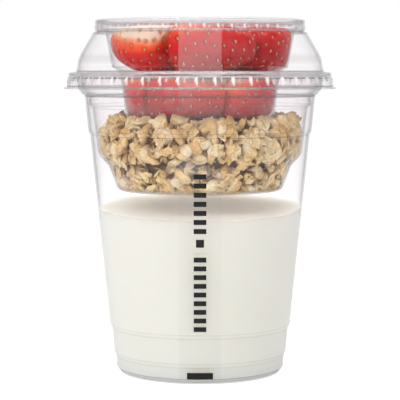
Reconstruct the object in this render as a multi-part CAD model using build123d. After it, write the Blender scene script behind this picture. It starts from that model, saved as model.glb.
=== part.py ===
from build123d import *

import math
import os

# Chilled pot of yogurt with granola and strawberries. A clear cup holds the yogurt. A clear tub of
# granola hangs in the cup's rim, and a domed lid snaps over both. A smaller tub of strawberries
# hangs in the dome's neck under a flat lid of its own, and a film strip holds the pack shut.
# Millimetres, +Z up. The origin is on the pot's axis, in the plane it stands on.

# Cup: tapered, with three small stacking steps and a shoulder under the rolled rim
cup_height = 102.0
cup_wall = 0.5
rim_radius = 44.2
rim_roll = 2.0
neck_height = 4.4
shoulder_height = 2.6
shoulder_bulge = 1.05
body_inset = 4.85
body_base_radius = 28.8
foot_height = 6.4
lower_band_height = 9.8
upper_band_height = 12.6
step_depth = 0.55
step_height = 1.4
foot_corner = 1.8
foot_ring_width = 3.0
base_rise = 2.0

# Granola tub: flange on the cup's rim, collar under the shoulder, stepped bowl
tub_wall = 0.4
tub_depth = 39.8
collar_clearance = 0.8
collar_height = 3.0
collar_step = 1.2
side_clearance = 1.5
bowl_height = 12.8
bowl_mouth_inset = 3.6
bowl_floor_inset = 6.7
bowl_shoulder_drop = 4.2
bowl_ledge_width = 0.6
bowl_ledge_height = 1.0
neck_draft = 0.4

# Domed lid: lip, fluted skirt, bead over the rim, dome and neck
lid_wall = 0.5
snap_clearance = 0.1
skirt_height = 5.0
skirt_flare = 0.8
skirt_draft = 0.1
bead_height = 1.4
bead_rise = 0.2
bead_ledge = 0.4
lip_width = 1.0
dome_base_inset = 2.9
dome_base_rise = 2.0
dome_height = 14.0
dome_belly_height = 3.0
dome_belly_inset = 0.4
neck_inset = 9.0
neck_height_above_dome = 3.0
dome_top_ledge = 1.2
dome_top_fall = 0.4
dome_bend_reach = 2.25
flute_count = 48
flute_width = 4.6
flute_height = 3.6
flute_depth = 0.35

# Strawberry tub: flange on the dome's neck, waist ledge, narrower bowl
fruit_wall = 0.4
fruit_depth = 33.0
fruit_clearance = 0.6
fruit_collar_height = 1.8
fruit_shoulder_inset = 1.7
fruit_waist_inset = 4.0
fruit_waist_height = 17.4
fruit_waist_step = 2.7
fruit_waist_fall = 1.4
fruit_shoulder_drop = 1.2
fruit_floor_inset = 8.7

# Flat lid of the strawberry tub, with lugs under its band
band_height = 2.4
lug_count = 50
lug_height = 1.4
lug_width = 2.6
lid_recess = 1.4
recess_draft = 0.3

# Contents
headspace = 5.9
yogurt_tilt = 3.5
granola_gap = 0.3
granola_ridge = 1.6
granola_edge_drop = 5.0
granola_lump = 0.7
berry_gap = 0.3
berry_floor_gap = 0.2
berry_wall_gap = 0.9

# Two rings of strawberries and one in the middle. A ring's berries are given from the front round,
# as yaw in degrees and length as a share of the space that each has. Thickness is a share of the
# height inside the tub. Neighbours would meet nearer to the tub's axis than their own middles, by
# berry_meeting of their thickness.
lower_ring = ((14, 1.006), (-12, 0.954), (10, 1.006), (168, 0.933), (184, 0.985))
lower_ring_start = -102
lower_thickness = 0.472
upper_ring = ((-8, 0.882), (172, 0.823), (12, 0.862), (-10, 0.803), (187, 0.882))
upper_ring_start = -80
upper_thickness = 0.496
centre_yaw = 25
centre_thickness = 0.49
centre_length = 0.64
berry_meeting = 0.25

# Film strip over the pack
strip_width = 13.7
strip_thickness = 0.2
strip_end_height = 0.9

# Roundings of the thin walls' bends
tight_bend = 0.6
bend = 0.7
wide_bend = 1.0
fruit_floor_bend = 2.0
bowl_floor_bend = 2.4

os.makedirs("parts", exist_ok=True)

# Heights that pieces share, from the foot up
neck_base = cup_height - neck_height
body_top = neck_base - shoulder_height
tub_flange_top = cup_height + tub_wall
tub_floor = tub_flange_top - tub_depth
bowl_top = tub_floor + bowl_height
lid_shoulder = tub_flange_top + lid_wall
dome_base = lid_shoulder + dome_base_rise
dome_top = lid_shoulder + dome_height
neck_top = dome_top + neck_height_above_dome
fruit_top = neck_top + fruit_wall
fruit_floor = fruit_top - fruit_depth
waist_height = fruit_floor + fruit_waist_height
flat_lid_top = fruit_top + lid_wall
berry_floor = fruit_floor + fruit_wall
berry_room = flat_lid_top - lid_recess - lid_wall - berry_floor

# Radii that pieces share
body_top_radius = rim_radius - body_inset
shoulder_radius = body_top_radius + shoulder_bulge
neck_inside = rim_radius - rim_roll - 2 * cup_wall
skirt_radius = rim_radius + snap_clearance + lid_wall
dome_base_radius = skirt_radius - dome_base_inset
neck_radius = rim_radius - neck_inset
flat_lid_radius = neck_radius + snap_clearance + lid_wall
collar_radius = body_top_radius - cup_wall - collar_clearance
fruit_collar_radius = neck_radius - lid_wall - fruit_clearance
fruit_waist_radius = fruit_collar_radius - fruit_waist_inset
fruit_floor_radius = fruit_collar_radius - fruit_floor_inset

# The cup's bands, from the foot up
foot_top = foot_height
lower_band_top = foot_top + lower_band_height
main_band_top = body_top - upper_band_height
band_edges = (foot_top, lower_band_top, main_band_top)
taper = (body_top_radius - body_base_radius - len(band_edges) * step_depth) / (body_top - foot_corner)


def cup_radius(z):
    """The cup's outer radius at height z on its tapered bands."""
    steps = step_depth * sum(z > edge for edge in band_edges)
    return body_base_radius + steps + taper * (z - foot_corner)


def rounded_line(points):
    """The line through (radius, height, rounding) points, rounded at each corner."""
    places = [(radius, height) for radius, height, _ in points]
    roundings = [rounding for _, _, rounding in points[1:-1]]
    return FilletPolyline(*places, radius=roundings)


def revolved_sheet(points, wall):
    """A thin-walled body round the axis. The points give its outer face, from the floor or skirt up."""
    outline = offset(rounded_line(points), amount=wall, side=Side.LEFT)
    return revolve(Plane.XZ * make_face(outline.edges()), Axis.Z)


def filling(points, wall):
    """What would fill a thin-walled vessel up to its last point, touching its inner face."""
    inner = offset(rounded_line(points), amount=wall, side=Side.LEFT, closed=False).edges()
    low, high = sorted((Wire(inner) @ 0, Wire(inner) @ 1), key=lambda end: end.X)
    top = Vector(0, high.Y)
    return revolve(Plane.XZ * make_face([*inner, Line(low, top), Line(top, high)]), Axis.Z)


def save(shape, name):
    export_step(shape, f"parts/{name}.step")


def cup_body_points():
    """The cup's outer face from its raised floor up to the shoulder."""
    ring_outside = body_base_radius - foot_corner
    ring_inside = ring_outside - foot_ring_width
    points = [
        (0, base_rise, 0),
        (ring_inside - base_rise, base_rise, wide_bend),
        (ring_inside, 0, bend),
        (ring_outside, 0, wide_bend),
        (body_base_radius, foot_corner, bend),
    ]
    for edge in band_edges:
        for height in (edge - step_height / 2, edge + step_height / 2):
            points.append((cup_radius(height), height, bend))
    points.append((body_top_radius, body_top, bend))
    return points


def cup_points():
    return cup_body_points() + [
        (shoulder_radius, body_top + 0.3 * shoulder_height, bend),
        (neck_inside + cup_wall, neck_base, wide_bend),
        (rim_radius - rim_roll, cup_height - cup_wall, bend),
        (rim_radius - cup_wall, cup_height - cup_wall, bend),
        (rim_radius - cup_wall, cup_height - rim_roll, 0),
    ]


def tub_bowl_points():
    """The granola tub's outer face from its floor up to the collar."""
    side_base = cup_radius(bowl_top) - cup_wall - side_clearance
    return [
        (0, tub_floor, 0),
        (side_base - bowl_floor_inset, tub_floor, bowl_floor_bend),
        (side_base - bowl_mouth_inset, bowl_top - bowl_shoulder_drop, wide_bend),
        (side_base - bowl_ledge_width, bowl_top - bowl_ledge_height, bend),
        (side_base, bowl_top, bend),
        (collar_radius - collar_step, body_top - collar_height - collar_step, tight_bend),
    ]


def tub_points():
    tub_neck = neck_inside - collar_clearance
    return tub_bowl_points() + [
        (collar_radius, body_top - collar_height, tight_bend),
        (collar_radius, body_top, tight_bend),
        (tub_neck, neck_base, wide_bend),
        (tub_neck + neck_draft, cup_height, tight_bend),
        (rim_radius - snap_clearance, cup_height, 0),
    ]


def bend_with_reach(before, corner, after, reach):
    """The rounding of a corner whose arc starts and ends at this reach from it."""
    turn = (Vector(*corner) - Vector(*before)).get_angle(Vector(*after) - Vector(*corner))
    return reach / math.tan(math.radians(turn / 2))


def lid_points():
    lip_top = lid_shoulder - skirt_height
    base = (dome_base_radius, dome_base)
    belly = (dome_base_radius - dome_belly_inset, dome_base + dome_belly_height)
    ledge = (neck_radius + dome_top_ledge, dome_top - dome_top_fall)
    return [
        (skirt_radius + skirt_flare + lip_width, lip_top, 0),
        (skirt_radius + skirt_flare, lip_top, bend),
        (skirt_radius + skirt_draft, lid_shoulder - bead_height, bend),
        (skirt_radius, lid_shoulder, bend),
        (dome_base_radius + bead_ledge, lid_shoulder + bead_rise, bend),
        (*base, bend),
        (*belly, bend_with_reach(base, belly, ledge, dome_bend_reach)),
        (*ledge, bend),
        (neck_radius, dome_top, tight_bend),
        (neck_radius, neck_top, 0),
    ]


def fruit_tub_points():
    waist_inside = fruit_waist_radius - fruit_waist_step
    return [
        (0, fruit_floor, 0),
        (fruit_floor_radius, fruit_floor, fruit_floor_bend),
        (waist_inside, waist_height - fruit_waist_fall, bend),
        (fruit_waist_radius, waist_height, bend),
        (fruit_collar_radius - fruit_shoulder_inset, neck_top - fruit_collar_height - fruit_shoulder_drop, bend),
        (fruit_collar_radius, neck_top - fruit_collar_height, tight_bend),
        (fruit_collar_radius, neck_top, fruit_clearance - snap_clearance),
        (neck_radius, neck_top, 0),
    ]


def flat_lid_points():
    recess_radius = fruit_collar_radius - fruit_wall - snap_clearance - lid_wall
    return [
        (flat_lid_radius, flat_lid_top - band_height, 0),
        (flat_lid_radius, flat_lid_top, tight_bend),
        (recess_radius, flat_lid_top, tight_bend),
        (recess_radius - recess_draft, flat_lid_top - lid_recess, tight_bend),
        (0, flat_lid_top - lid_recess, 0),
    ]


def make_cup():
    return revolved_sheet(cup_points(), cup_wall)


def make_granola_tub():
    return revolved_sheet(tub_points(), tub_wall)


def make_flute():
    """One raised dart on the skirt: widest and deepest at its top, running out to a point below."""
    top = lid_shoulder - bead_height - 0.2
    seat = skirt_radius + skirt_draft - lid_wall / 2
    corners = [
        Vector(seat, -flute_width / 2, top),
        Vector(seat, flute_width / 2, top),
        Vector(skirt_radius + skirt_draft + flute_depth, 0, top),
        Vector(seat + skirt_flare, 0, top - flute_height),
    ]
    faces = []
    for skipped in range(4):
        triangle = [corner for place, corner in enumerate(corners) if place != skipped]
        faces.append(make_face(Polyline(*triangle, close=True)))
    return Solid(Shell(faces))


def make_dome_lid():
    body = revolved_sheet(lid_points(), lid_wall)
    flutes = [Rot(0, 0, 360 / flute_count * turn) * make_flute() for turn in range(flute_count)]
    return body + flutes


def make_fruit_tub():
    return revolved_sheet(fruit_tub_points(), fruit_wall)


def make_lug():
    """One tooth under the flat lid's band, narrower at its foot."""
    top = flat_lid_top - band_height
    side = make_face(Polyline(
        (-lug_width / 2, top),
        (lug_width / 2, top),
        (lug_width / 3, top - lug_height),
        (-lug_width / 3, top - lug_height),
        close=True,
    ))
    inner = flat_lid_radius - lid_wall + snap_clearance
    return extrude(Plane.YZ.offset(inner) * side, flat_lid_radius - inner)


def make_flat_lid():
    body = revolved_sheet(flat_lid_points(), lid_wall)
    lugs = [Rot(0, 0, 360 / lug_count * turn) * make_lug() for turn in range(lug_count)]
    return body + lugs


def make_yogurt():
    """Yogurt against the cup's wall, its surface set at a slight slope, lower at the front."""
    surface = Plane.XY.offset(tub_floor - headspace).rotated((yogurt_tilt, 0, 0))
    return split(filling(cup_body_points(), cup_wall), surface, keep=Keep.BOTTOM)


def granola_height(x, y):
    """The heap's uneven top: level under the strawberry tub, a ridge round it, then down to the wall."""
    radius = math.hypot(x, y)
    ridge_radius = fruit_floor_radius + 4.0
    ridge = granola_ridge * math.exp(-(((radius - ridge_radius) / 2.2) ** 2))
    outward = max(radius - ridge_radius, 0) / (collar_radius - ridge_radius)
    lumps = math.sin(0.55 * x + 1.3) * math.cos(0.6 * y) + math.sin(0.35 * x - 0.4 * y)
    level = fruit_floor - granola_gap - granola_lump
    return level + ridge - granola_edge_drop * outward**1.5 + 0.4 * granola_lump * lumps


def make_granola():
    """Granola filling its tub up to an uneven surface that stays clear of the strawberry tub."""
    reach = 1.15 * collar_radius
    steps = 24
    rows = []
    for row in range(steps + 1):
        y = reach * (1 - 2 * row / steps)
        places = [reach * (2 * column / steps - 1) for column in range(steps + 1)]
        rows.append([(x, y, granola_height(x, y)) for x in places])
    surface = Face.make_surface_from_array_of_points([[Vector(*place) for place in row] for row in rows])
    return split(filling(tub_bowl_points(), tub_wall), surface, keep=Keep.BOTTOM)


def make_berry(length, thickness):
    """A hulled strawberry lying along X, centred on its thickness, with its tip towards +X."""
    radius = thickness / 2
    side = Spline(
        (0, 0),
        (0.60 * radius, 0.15 * length),
        (radius, 0.60 * length),
        (0.74 * radius, 0.94 * length),
        (0.30 * radius, 0.99 * length),
        (0, 0.95 * length),
        tangents=[(1, 0), (-1, -0.25)],
    )
    core = Line((0, 0.95 * length), (0, 0))
    upright = revolve(Plane.XZ * make_face([side, core]), Axis.Z)
    return Rot(0, -90, 0) * Pos(0, 0, -length / 2) * upright


def berry_ring(berries, start, thickness, reach, base):
    """Strawberries of one thickness lying in a ring against the tub's wall."""
    radius = reach - thickness / 2 - berry_wall_gap
    step = 360 / len(berries)
    space = 2 * (radius - berry_meeting * thickness) * math.tan(math.radians(step / 2))
    ring = []
    for place, (yaw, length) in enumerate(berries):
        seat = Rot(0, 0, start + step * place) * Pos(radius, 0, base + thickness / 2)
        ring.append(seat * Rot(0, 0, 90 + yaw) * make_berry(length * space, thickness))
    return ring


def make_berries():
    low = lower_thickness * berry_room
    high = upper_thickness * berry_room
    middle = centre_thickness * berry_room
    low_base = berry_floor + berry_floor_gap
    high_base = low_base + low + berry_gap
    high_reach = fruit_waist_radius - fruit_wall
    lower = berry_ring(lower_ring, lower_ring_start, low, fruit_floor_radius - fruit_wall, low_base)
    upper = berry_ring(upper_ring, upper_ring_start, high, high_reach, high_base)
    hole = 2 * (high_reach - high - berry_wall_gap)
    seat = Pos(0, 0, high_base + middle / 2) * Rot(0, 0, centre_yaw)
    return lower + upper + [seat * make_berry(centre_length * hole, middle)]


def taut_points():
    """Where a taut strip bears on the pack, from the flat lid's edge down to the foot."""
    return [
        (flat_lid_radius, flat_lid_top),
        (skirt_radius, lid_shoulder),
        (skirt_radius + skirt_flare + lip_width, lid_shoulder - skirt_height),
        (skirt_radius + skirt_flare + lip_width, lid_shoulder - skirt_height - lid_wall),
        (cup_radius(foot_top + step_height / 2), foot_top + step_height / 2),
        (body_base_radius, strip_end_height),
    ]


def make_strip():
    """A film strip over the top and down both sides, its ends stuck to the foot."""
    drop = Polyline(*taut_points())
    outline = offset(drop, amount=strip_thickness, side=Side.LEFT)
    sides = revolve(Plane.XZ * make_face(outline.edges()), Axis.Z)
    cap = Cylinder(flat_lid_radius + strip_thickness / 2, strip_thickness)
    band = sides + Pos(0, 0, flat_lid_top + strip_thickness / 2) * cap
    return band & Box(strip_width, 3 * rim_radius, 3 * flat_lid_top)


save(make_cup(), "cup")
save(make_granola_tub(), "granola_tub")
save(make_dome_lid(), "dome_lid")
save(make_fruit_tub(), "fruit_tub")
save(make_flat_lid(), "flat_lid")
save(make_yogurt(), "yogurt")
save(make_granola(), "granola")
save(make_strip(), "label_strip")
for number, berry in enumerate(make_berries(), start=1):
    save(berry, f"strawberry_{number}")
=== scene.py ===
import math
import random

import bmesh
import bpy
import numpy as np
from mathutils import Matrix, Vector, noise


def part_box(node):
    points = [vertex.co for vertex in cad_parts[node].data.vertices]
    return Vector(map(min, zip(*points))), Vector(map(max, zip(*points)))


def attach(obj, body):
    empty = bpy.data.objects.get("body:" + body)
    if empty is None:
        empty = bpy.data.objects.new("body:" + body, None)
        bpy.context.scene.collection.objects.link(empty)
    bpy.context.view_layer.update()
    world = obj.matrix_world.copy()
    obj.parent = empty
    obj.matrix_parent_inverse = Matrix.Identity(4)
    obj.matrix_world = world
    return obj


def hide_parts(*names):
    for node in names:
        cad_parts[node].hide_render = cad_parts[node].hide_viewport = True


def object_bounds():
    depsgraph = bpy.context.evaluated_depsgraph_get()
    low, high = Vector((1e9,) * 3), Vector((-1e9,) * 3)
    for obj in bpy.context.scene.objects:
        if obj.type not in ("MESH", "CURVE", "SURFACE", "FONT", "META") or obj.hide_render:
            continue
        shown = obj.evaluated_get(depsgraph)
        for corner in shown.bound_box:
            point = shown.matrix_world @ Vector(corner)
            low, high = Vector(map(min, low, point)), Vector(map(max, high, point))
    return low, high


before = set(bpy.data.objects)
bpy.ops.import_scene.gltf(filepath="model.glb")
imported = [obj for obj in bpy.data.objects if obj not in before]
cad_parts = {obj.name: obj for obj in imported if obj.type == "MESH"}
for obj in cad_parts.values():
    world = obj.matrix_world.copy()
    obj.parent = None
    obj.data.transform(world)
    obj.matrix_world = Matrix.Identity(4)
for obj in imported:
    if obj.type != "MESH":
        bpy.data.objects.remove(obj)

cad_low, cad_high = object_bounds()
MM = 0.001

# Studio: a plain white floor and world, one large soft lamp from the left, a weaker one from the
# right and a broad one above. The camera stands level with the dome and looks slightly down.


def node(tree, kind, inputs=None, **settings):
    """A node with its settings made and its inputs linked or given values."""
    made = tree.nodes.new(kind)
    for name, value in settings.items():
        setattr(made, name, value)
    for place, value in (inputs or {}).items():
        if isinstance(value, bpy.types.NodeSocket):
            tree.links.new(value, made.inputs[place])
        else:
            made.inputs[place].default_value = value
    return made


def calc(tree, operation, *values):
    """One step of arithmetic on sockets and numbers."""
    return node(tree, "ShaderNodeMath", dict(enumerate(values)), operation=operation).outputs[0]


def new_material(name):
    material = bpy.data.materials.new(name)
    material.use_nodes = True
    material.node_tree.nodes.clear()
    return material, material.node_tree


def show(tree, shader):
    node(tree, "ShaderNodeOutputMaterial", {"Surface": shader})


def seen_directly(tree, mirrored):
    """1 for rays from the camera and through clear pieces, a share of that for glossy ones."""
    path = node(tree, "ShaderNodeLightPath").outputs
    plain = calc(tree, "MAXIMUM", path["Is Camera Ray"], path["Is Transmission Ray"])
    return calc(tree, "MAXIMUM", plain, calc(tree, "MULTIPLY", path["Is Glossy Ray"], mirrored))


world_light = 0.48
sky_in_gloss, floor_in_gloss = 0.85, 0.5
floor_glow, floor_bounce = 0.62, 0.17
world = bpy.data.worlds.new("studio")
bpy.context.scene.world = world
world.use_nodes = True
sky = world.node_tree
sky.nodes.clear()
sky_strength = calc(sky, "MULTIPLY_ADD", seen_directly(sky, sky_in_gloss), 1 - world_light, world_light)
sky_colour = node(sky, "ShaderNodeBackground", {"Color": (1, 1, 1, 1), "Strength": sky_strength})
node(sky, "ShaderNodeOutputWorld", {"Surface": sky_colour.outputs[0]})

floor_mesh = bpy.data.meshes.new("floor")
floor_mesh.from_pydata([(-9, -9, 0), (9, -9, 0), (9, 40, 0), (-9, 40, 0)], [], [(0, 1, 2, 3)])
floor = bpy.data.objects.new("floor", floor_mesh)
bpy.context.collection.objects.link(floor)
floor_white, tree = new_material("floor_white")
paper = node(tree, "ShaderNodeBsdfDiffuse", {"Color": (0.86, 0.86, 0.86, 1)})
lift = calc(tree, "MULTIPLY", seen_directly(tree, floor_in_gloss), floor_glow)
glow = node(tree, "ShaderNodeEmission", {"Strength": calc(tree, "MAXIMUM", lift, floor_bounce)})
show(tree, node(tree, "ShaderNodeAddShader", {0: paper.outputs[0], 1: glow.outputs[0]}).outputs[0])
floor_mesh.materials.append(floor_white)

lamps = {
    "key": ((-0.40, -0.66, 0.42), (0.70, 0.70), 3.9),
    "fill": ((0.60, -0.50, 0.20), (0.60, 0.60), 1.1),
    "top": ((0.0, 0.05, 0.65), (0.45, 0.45), 2.6),
}
middle = (cad_low + cad_high) / 2
for name, (place, (width, height), watts) in lamps.items():
    lamp = bpy.data.lights.new(name, "AREA")
    lamp.shape = "RECTANGLE"
    lamp.size, lamp.size_y, lamp.energy = width, height, watts
    stand = bpy.data.objects.new(name, lamp)
    bpy.context.collection.objects.link(stand)
    stand.location = place
    stand.rotation_euler = (middle - Vector(place)).to_track_quat("-Z", "Y").to_euler()

camera_place = Vector((0, -557 * MM, 103 * MM))
camera_target = Vector((0, 0, 59.1 * MM))
camera = bpy.data.objects.new("camera", bpy.data.cameras.new("camera"))
bpy.context.collection.objects.link(camera)
camera.location = camera_place
camera.rotation_euler = (camera_target - camera_place).to_track_quat("-Z", "Y").to_euler()
camera.data.sensor_width = 36
camera.data.lens = 145.8
bpy.context.scene.camera = camera
bpy.context.scene.view_settings.view_transform = "Standard"
bpy.context.scene.cycles.transparent_max_bounces = 48

# Cup: one thermoformed sheet of clear PET, tapered, with three stacking steps, a shoulder and a
# rolled rim. All the clear walls are turned about the axis from their outer face's line.

cup_wall = 0.5
rim_radius = 44.2
rim_roll = 2.0
cup_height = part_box("cup")[1].z / MM
neck_base = cup_height - 4.4
body_top = neck_base - 2.6
body_top_radius = rim_radius - 4.85
neck_inside = rim_radius - rim_roll - 2 * cup_wall
foot_corner = 1.8
body_base_radius = 28.8
step_depth = 0.55
step_height = 1.4
band_edges = (6.4, 16.2, body_top - 12.6)
taper = (body_top_radius - body_base_radius - 3 * step_depth) / (body_top - foot_corner)
tight_bend, bend, wide_bend = 0.6, 0.7, 1.0
turn_steps = 192


def cup_radius(z):
    """The cup's outer radius at height z on its tapered bands."""
    steps = step_depth * sum(z > edge for edge in band_edges)
    return body_base_radius + steps + taper * (z - foot_corner)


def cup_body_points():
    """The cup's outer face as (radius, height, rounding), from its raised floor to the shoulder."""
    ring_outside = body_base_radius - foot_corner
    ring_inside = ring_outside - 3.0
    points = [
        (0, 2.0, 0),
        (ring_inside - 2.0, 2.0, wide_bend),
        (ring_inside, 0, bend),
        (ring_outside, 0, wide_bend),
        (body_base_radius, foot_corner, bend),
    ]
    for edge in band_edges:
        for height in (edge - step_height / 2, edge + step_height / 2):
            points.append((cup_radius(height), height, bend))
    points.append((body_top_radius, body_top, bend))
    return points


def cup_points():
    return cup_body_points() + [
        (body_top_radius + 1.05, body_top + 0.78, bend),
        (neck_inside + cup_wall, neck_base, wide_bend),
        (rim_radius - rim_roll, cup_height - cup_wall, bend),
        (rim_radius - cup_wall, cup_height - cup_wall, bend),
        (rim_radius - cup_wall, cup_height - rim_roll, 0),
    ]


def rounded(points, longest=6.0, turn_angle=10.0):
    """The line through (radius, height, rounding) points with an arc at each corner. Its rows are
    (radius, height, how bent the sheet is there)."""
    places = [np.array(point[:2], float) for point in points]
    line, bends = [places[0]], [0.0]
    for place in range(1, len(points) - 1):
        corner, rounding = places[place], points[place][2]
        back = places[place - 1] - corner
        ahead = places[place + 1] - corner
        back, ahead = back / np.linalg.norm(back), ahead / np.linalg.norm(ahead)
        turn = math.pi - math.acos(np.clip(back @ ahead, -1, 1))
        reach = rounding * math.tan(turn / 2)
        if reach < 1e-6:
            line.append(corner)
            bends.append(0.0)
            continue
        middle_way = (back + ahead) / np.linalg.norm(back + ahead)
        centre = corner + middle_way * rounding / math.cos(turn / 2)
        start, end = corner + back * reach - centre, corner + ahead * reach - centre
        pieces = max(3, math.ceil(math.degrees(turn) / turn_angle))
        for share in np.linspace(0, 1, pieces + 1):
            along = math.sin((1 - share) * turn) * start + math.sin(share * turn) * end
            line.append(centre + along / math.sin(turn))
            tightness = min(1.0, turn / 1.2) ** 1.5 * min(1.0, 1.4 / rounding)
            bends.append(tightness * math.sin(math.pi * share) ** 0.5)
    line.append(places[-1])
    bends.append(0.0)
    full = [(*line[0], 0.0)]
    for place, bent in zip(line[1:], bends[1:]):
        begin = np.array(full[-1])
        end = np.array((*place, bent))
        cuts = math.ceil(np.linalg.norm(place - begin[:2]) / longest)
        full += [tuple(begin + (end - begin) * cut / cuts) for cut in range(1, cuts + 1)]
    return np.array(full)


def beside(line, distance):
    """The line moved to its left by a distance, mitred at its corners."""
    runs = np.diff(line[:, :2], axis=0)
    runs = runs / np.linalg.norm(runs, axis=1)[:, None]
    lefts = np.stack([-runs[:, 1], runs[:, 0]], axis=1)
    before = np.vstack([lefts[:1], lefts])
    after = np.vstack([lefts, lefts[-1:]])
    mitre = (before + after) / (1 + np.sum(before * after, axis=1))[:, None]
    moved = line.copy()
    moved[:, :2] += mitre * distance
    moved[line[:, 0] < 1e-6, 0] = 0
    return moved


def geometry_tree(name, inputs):
    """An empty geometry tree with one geometry through it and named inputs."""
    tree = bpy.data.node_groups.new(name, "GeometryNodeTree")
    for way in ("INPUT", "OUTPUT"):
        tree.interface.new_socket("Geometry", in_out=way, socket_type="NodeSocketGeometry")
    for label, kind in inputs.items():
        tree.interface.new_socket(label, in_out="INPUT", socket_type="NodeSocket" + kind)
    return tree, tree.nodes.new("NodeGroupInput").outputs, tree.nodes.new("NodeGroupOutput").inputs


def shown(name, mesh):
    """A new object of this mesh in the scene."""
    made = bpy.data.objects.new(name, mesh)
    bpy.context.collection.objects.link(made)
    return made


def grown(mesh, tree, values):
    """The plain mesh that a geometry tree makes of this one."""
    host = shown("host", mesh)
    modifier = host.modifiers.new(tree.name, "NODES")
    modifier.node_group = tree
    for item in tree.interface.items_tree:
        if item.in_out == "INPUT" and item.name in values:
            modifier[item.identifier] = values[item.name]
    evaluated = host.evaluated_get(bpy.context.evaluated_depsgraph_get())
    result = bpy.data.meshes.new_from_object(evaluated)
    bpy.data.objects.remove(host)
    return result


def turned_tree():
    """Turns a profile line about Z. The line's X is its radius less the ring's, its Y is downwards."""
    tree, inputs, outputs = geometry_tree(
        "turned_sheet", {"Steps": "Int", "Ring": "Float", "Material": "Material"}
    )
    ring = node(tree, "GeometryNodeCurvePrimitiveCircle",
                {"Resolution": inputs["Steps"], "Radius": inputs["Ring"]})
    upright = node(tree, "GeometryNodeSetCurveNormal", {0: ring.outputs[0]}, mode="Z_UP")
    profile = node(tree, "GeometryNodeMeshToCurve", {0: inputs["Geometry"]})
    swept = node(tree, "GeometryNodeCurveToMesh",
                 {"Curve": upright.outputs[0], "Profile Curve": profile.outputs[0]})
    joined = node(tree, "GeometryNodeMergeByDistance",
                  {"Geometry": swept.outputs[0], "Distance": 0.002 * MM})
    smooth = node(tree, "GeometryNodeSetShadeSmooth", {"Geometry": joined.outputs[0]})
    real = node(tree, "GeometryNodeRealizeInstances", {"Geometry": smooth.outputs[0]})
    finish = node(tree, "GeometryNodeSetMaterial",
                  {"Geometry": real.outputs[0], "Material": inputs["Material"]})
    tree.links.new(finish.outputs[0], outputs["Geometry"])
    return tree


turned_sheet = turned_tree()
turning_ring = 1.0


def turned(line, material, steps=turn_steps, closed=False):
    """The mesh of a profile line in millimetres turned about the axis, its faces outwards."""
    flat = [((radius - turning_ring) * MM, -height * MM, 0) for radius, height, _ in line]
    edges = [(place, place + 1) for place in range(len(flat) - 1)]
    if closed:
        edges.append((len(flat) - 1, 0))
    profile = bpy.data.meshes.new("profile")
    profile.from_pydata(flat, edges, [])
    bends = profile.attributes.new("bend", "FLOAT", "POINT")
    bends.data.foreach_set("value", line[:, 2].astype(np.float32))
    mesh = grown(profile, turned_sheet,
                 {"Steps": steps, "Ring": turning_ring * MM, "Material": material})
    return faced_out(mesh)


def faced_out(mesh, sharp=40):
    """The mesh with its faces turned outwards and only its hard corners left sharp."""
    work = bmesh.new()
    work.from_mesh(mesh)
    bmesh.ops.remove_doubles(work, verts=work.verts, dist=0.001 * MM)
    bmesh.ops.dissolve_degenerate(work, edges=work.edges, dist=0.0005 * MM)
    bmesh.ops.recalc_face_normals(work, faces=work.faces)
    work.to_mesh(mesh)
    work.free()
    mesh.shade_smooth()
    mesh.set_sharp_from_angle(angle=math.radians(sharp))
    return mesh


def sheet_line(points, wall, longest=6.0):
    """The closed outline of a thin wall given by its outer face, from the floor or lip up."""
    outer = rounded(points, longest)
    return np.vstack([outer, beside(outer, wall)[::-1]])


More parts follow.
